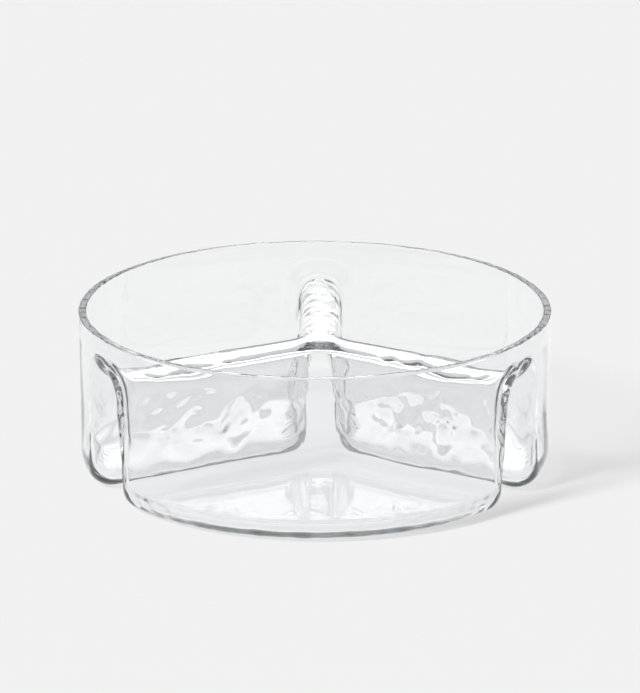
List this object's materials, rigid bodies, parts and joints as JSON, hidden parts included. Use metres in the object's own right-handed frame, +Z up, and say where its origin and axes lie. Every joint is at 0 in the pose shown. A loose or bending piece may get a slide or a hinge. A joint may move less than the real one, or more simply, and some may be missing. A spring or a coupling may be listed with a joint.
{
  "type": "divided serving bowl",
  "caption": "Round clear glass serving bowl whose wall folds inwards at arched mouths into hollow dividers that part it into compartments.",
  "frame": {"origin": "centre of the bowl at table height, on the plane that the compartments stand on", "axes": "+Z up through the rim; +Y along the rear divider; +X to the right of the front compartment"},
  "size_m": [0.25, 0.25, 0.088],
  "materials": {
    "clear_glass": "clear polished glass, lightly hammered on the dividers"
  },
  "bodies": {
    "root": {"rim_wall": "clear_glass", "front_compartment": "clear_glass", "left_compartment": "clear_glass", "right_compartment": "clear_glass", "front_left_divider": "clear_glass", "front_right_divider": "clear_glass", "rear_divider": "clear_glass", "centre_crown": "clear_glass"}
  },
  "joints": []
}
